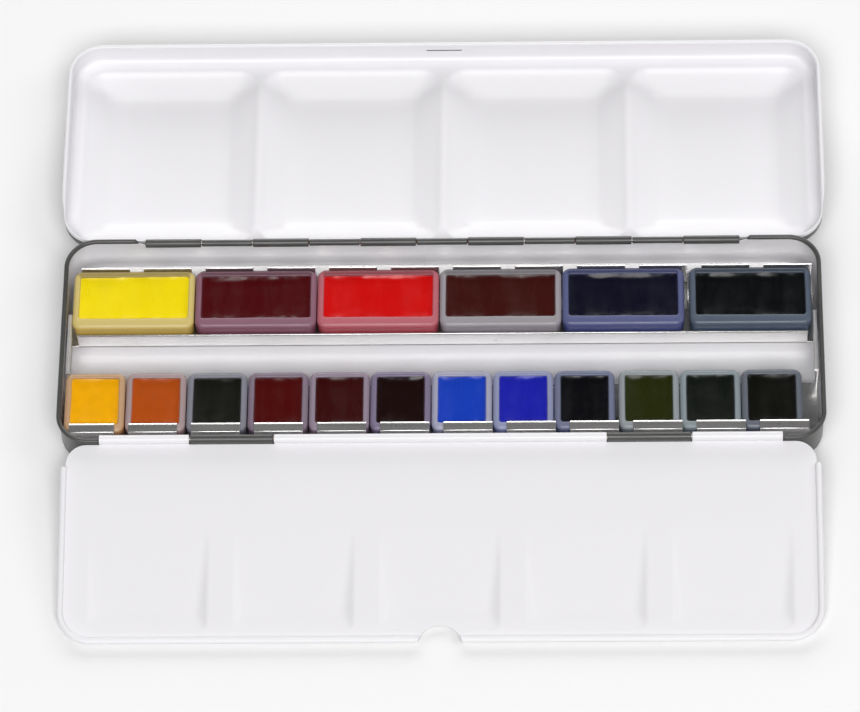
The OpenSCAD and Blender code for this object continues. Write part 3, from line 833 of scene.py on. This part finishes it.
def pan_rack(tin, worn_tin):
    floor_z = RACK_TOP - SHEET
    corner = 8.0
    half_x = RACK_HIGH.x - 0.15
    front, back = -29.4, 29.6
    centre_y = (front + back) / 2
    stations = outline(half_x - corner, (back - front) / 2 - corner, centre_y, steps=8)
    loop = [(x + corner * dx, y + corner * dy) for x, y, dx, dy, _ in stations]
    trough_end, trough_front, trough_back = 102.1, -8.9, 4.0
    clip_row_shift = -1.1
    clip_end = -100.8         # keeps the first front clip clear of the round corner
    hole_end = 98
    first = -CLIP_PITCH * (CLIPS - 1) / 2 + clip_row_shift
    holes = [(-trough_end, trough_end, trough_front, trough_back)]
    front_clips, back_clips = [], []
    for i in range(CLIPS):
        x = first + i * CLIP_PITCH
        left, right = x - CLIP_WIDTH / 2, x + CLIP_WIDTH / 2
        front_clips.append((max(left, clip_end), right))
        back_clips.append((left + BACK_CLIP_SHIFT, right + BACK_CLIP_SHIFT))
        holes.append((max(left, -hole_end), min(right, hole_end), -28.05, -19.4))
        holes.append((*back_clips[-1], 14.7, 23.35))
    parts = [pierced_plate("rack_plate", loop, holes, floor_z, RACK_TOP, tin)]

    # (y, z) sections of the clips: the back ones stop just behind the full pans, the front ones
    # hook over the half pans
    upright = [(23.75, floor_z), (23.75, 12.2), (23.66, 12.42), (23.5, 12.5), (23.2, 12.36),
               (23.2, 12.1), (23.35, 11.95), (23.35, floor_z)]
    hooked = [(-28.45, floor_z), (-28.45, 12.52), (-28.41, 12.6), (-28.3, 12.63), (-26.4, 12.6),
              (-26.22, 12.63), (-25.82, 12.83), (-25.68, 12.52), (-26.16, 12.28), (-26.4, 12.25),
              (-28.09, 12.27), (-28.09, floor_z)]
    for i, (x0, x1) in enumerate(back_clips):
        parts.append(prism(f"back_clip_{i}", upright, x0, x1, [tin]))
    for i, (x0, x1) in enumerate(front_clips):
        parts.append(prism(f"front_clip_{i}", hooked, x0, x1, [tin]))

    # edges turned down to the floor, and the folded rail in front of the full pans
    edge_low, edge_high, edge_end = 0.75, floor_z + 0.1, half_x - corner
    for y in (front, back - SHEET):
        edge = [(y, edge_low), (y + SHEET, edge_low), (y + SHEET, edge_high), (y, edge_high)]
        parts.append(prism(f"turned_edge_{y}", edge, -edge_end, edge_end, [tin]))
    rail = [(4.4, floor_z), (4.4, 8.4), (4.5, 8.75), (4.3, 8.9), (4.0, 8.82), (3.88, 8.6),
            (3.9, 8.3), (4.0, 8.1), (4.0, floor_z)]
    parts.append(prism("rail", rail, -100.3, 100.3, [tin]))

    rack = bevel(join("pan_rack_sheet", parts), 0.07)
    mount_piece(rack, "rack", "tinplate", "pan_rack")

    # ears at both ends, with a rolled top edge
    ears = []
    ear_front, ear_back, ear_face, roll = -9.1, 9.6, 102.75, 0.62
    centre = (ear_face - roll, EAR_TOP - roll)
    section = [(ear_face, floor_z)] + arc(centre, roll, 0, 292, 20) + [(ear_face - SHEET, floor_z)]
    count = len(section)
    for side in (-1, 1):
        verts = [(side * x, y, z) for y in (ear_front, ear_back) for x, z in section]
        faces = [(i, (i + 1) % count, (i + 1) % count + count, i + count) for i in range(count)]
        faces += [tuple(range(count)), tuple(range(2 * count - 1, count - 1, -1))]
        ears.append(new_piece(f"ear_{side}", verts, faces, [worn_tin]))
    mount_piece(join("rack_ears", ears), "rack", "tinplate", "pan_rack")


# ------------------------------------------------------------------ pans and paints

def srgb(red, green, blue):
    """Linear colour from 0-255 display values."""
    result = []
    for value in (red, green, blue):
        c = value / 255
        result.append(c / 12.92 if c <= 0.04045 else ((c + 0.055) / 1.055) ** 2.4)
    return tuple(result)


def set_values(piece, name, values):
    layer = piece.data.attributes.new(name, "FLOAT", "POINT")
    layer.data.foreach_set("value", values)


def pan(name, node, body, material, seed, walls, back_painted_shade):
    """A moulded plastic cup with rounded rims and a slight draft."""
    low, high = cad_box(node)
    corner = 2.4
    centre = (low + high) / 2
    corner_x = (high.x - low.x) / 2 - corner
    corner_y = (high.y - low.y) / 2 - corner
    z0, z1 = low.z, high.z
    draft, wall, outer, inner = 0.35, PAN_WALL + 0.05, 1.25, 0.45
    profile = arc((corner - draft - 0.7, z0 + 0.7), 0.7, -90, -10, 4)
    profile += arc((corner - outer, z1 - outer), outer, 0, 80, 6)
    outside = len(profile)
    profile += arc((corner - wall + inner, z1 - inner), inner, 100, 180, 5)
    profile += [(corner - wall - 0.05, z1 - 2.4), (corner - wall - 0.1, z1 - 4.0)]
    front, back = walls
    rng = random.Random(seed)
    lean = (rng.uniform(-0.02, 0.02), rng.uniform(-0.02, 0.02))

    def profile_at(station):
        x, y, dx, dy, _ = station
        wave = noise.noise(Vector((x * 0.11, y * 0.11, seed * 3.7)))
        return [(out + (0.10 * wave if z > z1 - 3 and out < corner - 0.8 else 0.0),
                 z - (0.05 + 0.05 * wave + lean[0] * dx + lean[1] * dy if z > z1 - 0.6 else 0.0))
                for out, z in profile]

    stations = outline(corner_x, corner_y, 0, steps=8)
    dense = []
    for i, station in enumerate(stations):
        after = stations[(i + 1) % len(stations)]
        dense.append(station)
        gap = math.hypot(after[0] - station[0], after[1] - station[1])
        pieces = int(gap / 2.2)
        for k in range(1, pieces):
            t = k / pieces
            dense.append((station[0] + (after[0] - station[0]) * t,
                          station[1] + (after[1] - station[1]) * t, *station[2:]))
    verts, faces, _, first, last = sweep(dense, profile_at)
    faces += [tuple(reversed(first)), tuple(last)]
    for i, (x, y, z) in enumerate(verts):
        if i % len(profile) >= outside:
            along = (dense[i // len(profile)][1] + corner_y) / (2 * corner_y)
            y += front * (1 - along) - back * along
        verts[i] = (x + centre.x, y + centre.y, z)
    piece = new_piece(name, verts, faces, [material], sharp=60, merge=False)
    depths = [z1 - z for _, z in profile]
    inner_stain = [0.0 if j < outside else 0.9 * smooth_step(depth, 0.0, 0.6)
                   for j, depth in enumerate(depths)]
    face = [smooth_step(depth, 0.2, 1.7) if j < outside else 0.0 for j, depth in enumerate(depths)]
    # the back of each rim is darkened further as painted shade, where the clips shade it
    set_values(piece, "stain", [value + back_painted_shade * smooth_step(station[3], 0.0, 1.0)
                                for station in dense for value in inner_stain])
    set_values(piece, "down", face * len(dense))
    mount_piece(piece, body, "pan_plastic", node)


def paint(name, node, pan_node, body, slot, material, seed, walls):
    """A cake of dried paint that climbs a little at the walls of its pan."""
    low, high = cad_box(pan_node)
    rng = random.Random(seed)
    x0, x1 = low.x + PAN_WALL, high.x - PAN_WALL
    y0, y1 = low.y + PAN_WALL + walls[0], high.y - PAN_WALL - walls[1]
    level = cad_box(node)[1].z - 0.15
    reach = 1.5 + rng.uniform(-0.2, 0.25)
    side_slope, back_slope, front_slope = 0.46, 0.43, 0.2
    columns = max(24, int((x1 - x0) / 0.5))
    rows = 30
    corner = 0.55

    def spread(count, length):
        """Grid positions packed towards both walls."""
        result = []
        for i in range(count + 1):
            t = i / count
            eased = 0.5 - 0.5 * math.cos(math.pi * t)
            result.append(length * (0.55 * eased + 0.45 * t))
        return result

    def climb(distance, slope, width):
        """Height gained towards one wall."""
        return -soft_min(-slope * (width - distance), 0.0, 0.5)

    xs, ys = spread(columns, x1 - x0), spread(rows, y1 - y0)
    verts, edge = [], []
    tilt = (rng.uniform(-0.010, 0.010), rng.uniform(-0.012, 0.012))
    for v in ys:
        for u in xs:
            sides = sorted((u, x1 - x0 - u, v, y1 - y0 - v))
            near = soft_min(sides[0], sides[1], 0.5)
            x, y = x0 + u, y0 + v
            wavy = noise.noise(Vector((x * 0.2, seed * 4.1, 0.0)))
            climb_x = climb(min(u, x1 - x0 - u), side_slope, reach)
            climb_back = climb(y1 - y0 - v, back_slope + 0.24 * wavy, reach)
            climb_y = max(climb_back, climb(v, front_slope, reach))
            rise = -soft_min(-climb_x, -climb_y, 0.4)
            # corners of the grid are drawn in to follow the pan's rounded corners
            pull = max(0.0, corner - math.hypot(sides[0], sides[1])) if sides[1] < corner else 0.0
            x += math.copysign(pull * 0.5, (x0 + x1) / 2 - x)
            y += math.copysign(pull * 0.5, (y0 + y1) / 2 - y)
            ragged = 0.14 * noise.noise(Vector((x * 0.7, y * 0.7, seed))) * smooth_step(-near, -0.9, 0)
            lumps = (0.16 * noise.noise(Vector((x * 0.16, y * 0.16, seed * 1.3)))
                     + 0.05 * noise.noise(Vector((x * 0.5, y * 0.5, seed * 2.1 + 9))))
            z = level + rise + ragged + lumps * smooth_step(near, 0, 2)
            z += tilt[0] * (x - (x0 + x1) / 2) + tilt[1] * (y - (y0 + y1) / 2)
            verts.append((x, y, z))
            edge.append(math.exp(-max(near, 0) / 0.55))
    across = columns + 1
    faces = [(j * across + i, j * across + i + 1, (j + 1) * across + i + 1, (j + 1) * across + i)
             for j in range(rows) for i in range(columns)]
    rim = [i for i in range(across)] + [j * across + columns for j in range(1, rows + 1)]
    rim += [rows * across + i for i in range(columns - 1, -1, -1)]
    rim += [j * across for j in range(rows - 1, 0, -1)]
    start = len(verts)
    verts += [(verts[i][0], verts[i][1], low.z + 4.6) for i in rim]
    edge += [0.0] * len(rim)
    count = len(rim)
    faces += [(rim[i], start + i, start + (i + 1) % count, rim[(i + 1) % count])
              for i in range(count)]
    faces.append(tuple(start + i for i in range(count - 1, -1, -1)))
    piece = new_piece(name, verts, faces, [material], sharp=50, merge=False)
    set_values(piece, "edge", edge)
    mount_piece(piece, body, slot, node)


# the plastic of each pan, tinted by its paint, and the paint itself
FULL_PALETTE = {
    "lemon yellow": ((210, 190, 120), (245, 220, 15)),
    "crimson": ((140, 100, 115), (75, 5, 10)),
    "scarlet": ((185, 105, 115), (205, 10, 10)),
    "red brown": ((155, 150, 155), (60, 15, 10)),
    "indigo": ((90, 95, 135), (10, 10, 30)),
    "blue black": ((85, 95, 110), (5, 8, 10)),
}
HALF_PALETTE = {
    "golden yellow": ((190, 155, 120), (240, 170, 5)),
    "burnt orange": ((165, 145, 145), (175, 75, 15)),
    "sepia": ((130, 130, 140), (20, 20, 15)),
    "deep red": ((130, 115, 130), (75, 5, 5)),
    "maroon": ((145, 130, 145), (55, 5, 5)),
    "dark maroon": ((125, 115, 140), (25, 5, 5)),
    "bright blue": ((160, 160, 180), (20, 60, 180)),
    "ultramarine": ((140, 145, 175), (25, 30, 165)),
    "black": ((110, 115, 140), (5, 5, 10)),
    "olive": ((145, 150, 155), (35, 40, 5)),
    "dark green": ((135, 145, 150), (15, 20, 15)),
    "green black": ((100, 105, 115), (10, 10, 5)),
}


def deepened(colour, amount, light):
    """A linear colour made more saturated, its strongest channel scaled by light."""
    top = max(colour)
    return tuple(light * top * (c / top) ** amount for c in colour)


def blend(a, b, share):
    """The first colour with a share of the second mixed in."""
    return tuple(x * (1 - share) + y * share for x, y in zip(a, b))


def pans_and_paints():
    # the last value of each row is the strength of the painted shade laid on the back of the rims
    for size, palette, walls, back_painted_shade in (("full", FULL_PALETTE, (1.25, 0.45), 0.85),
                                             ("half", HALF_PALETTE, (0.5, 0.1), 0.2)):
        for i, (plastic, paint_colour) in enumerate(palette.values(), start=1):
            seed = i + (40 if size == "half" else 0)
            body = f"{size}_pan_{i}_body"
            rim, wet = srgb(*plastic), srgb(*paint_colour)
            # darker colour, used for the paint stain on the inner edge and for painted shade at the
            # back of the rim
            stained_and_shaded = deepened(rim, 1.2, 0.5)
            face = deepened(rim, 1.5, 0.95)
            cup_look = pan_plastic(f"{size}_pan_plastic_{i}", rim, stained_and_shaded, face)
            pan(f"{size}_pan_cup_{i}", f"{size}_pan_{i}", body, cup_look, seed, walls, back_painted_shade)
            cake = dried_paint(f"{size}_paint_{i}", wet, blend(wet, rim, 0.12), seed)
            paint(f"{size}_paint_cake_{i}", f"{size}_paint_{i}", f"{size}_pan_{i}", body,
                  f"{size}_paint_{i}", cake, seed, walls)


# ------------------------------------------------------------------ stage

def floor():
    """A plain pale matt floor."""
    kit = Tree("floor_paper")
    tone = kit.noise(1200.0, 1.0)
    kit.set(Base_Color=kit.mix(tone, (0.925, 0.925, 0.925), (0.92, 0.92, 0.92)), Roughness=0.9,
            Specular_IOR_Level=0.1)
    size = 3000
    verts = [(-size, -size, 0), (size, -size, 0), (size, size, 0), (-size, size, 0)]
    new_piece("floor", verts, [(0, 1, 2, 3)], [kit.material])


def area_light(name, place, target, size, watts):
    data = bpy.data.lights.new(name, "AREA")
    data.shape = "RECTANGLE"
    data.size, data.size_y = size
    data.energy = watts
    lamp = bpy.data.objects.new(name, data)
    lamp.location = place
    lamp.rotation_euler = (Vector(target) - Vector(place)).to_track_quat("-Z", "Y").to_euler()
    bpy.context.scene.collection.objects.link(lamp)


def light_and_camera():
    world = bpy.data.worlds.new("studio")
    world.use_nodes = True
    background = world.node_tree.nodes["Background"]
    background.inputs["Color"].default_value = (1.0, 1.0, 1.0, 1.0)
    background.inputs["Strength"].default_value = 0.06
    bpy.context.scene.world = world
    area_light("front_box", (0.1, -2.8, 4.0), (0, 0, 0), (4.2, 2.6), 222.0)
    area_light("back_box", (0.0, 4.0, 1.6), (0, 0, 0), (5.0, 2.0), 130.0)
    area_light("right_box", (1.9, 0.0, 1.9), (0, 0, 0), (1.2, 1.2), 9.0)

    aim = Vector((-3.0, -5.5, AXIS_Z)) * MM
    yaw, elevation, roll = math.radians(-3.37), math.radians(59.95), math.radians(-3.29)
    back = Vector((-math.sin(yaw) * math.cos(elevation), -math.cos(yaw) * math.cos(elevation),
                   math.sin(elevation)))
    camera = bpy.data.objects.new("camera", bpy.data.cameras.new("camera"))
    camera.data.lens = 201.4
    camera.data.sensor_width = 36
    camera.location = aim + back * 1.3114
    camera.rotation_euler = (back.to_track_quat("Z", "Y").to_matrix()
                             @ Matrix.Rotation(roll, 3, "Z")).to_euler()
    bpy.context.scene.collection.objects.link(camera)
    bpy.context.scene.camera = camera
    bpy.context.scene.view_settings.view_transform = "Standard"


white = white_enamel()
grey = grey_enamel()
wire = hinge_wire()
base_tin(grey, base_inside())
lid(grey, white)
mixing_flap(white)
pan_rack(tinplate("tinplate", 0.20, 0.28), tinplate("worn_tinplate", 0.42, 0.5))
pans_and_paints()
for node in ("lid_hinge_pin", "flap_hinge_pin"):
    pin = frame["nodes"][node]
    pin.data.materials.clear()
    pin.data.materials.append(wire)
floor()
light_and_camera()
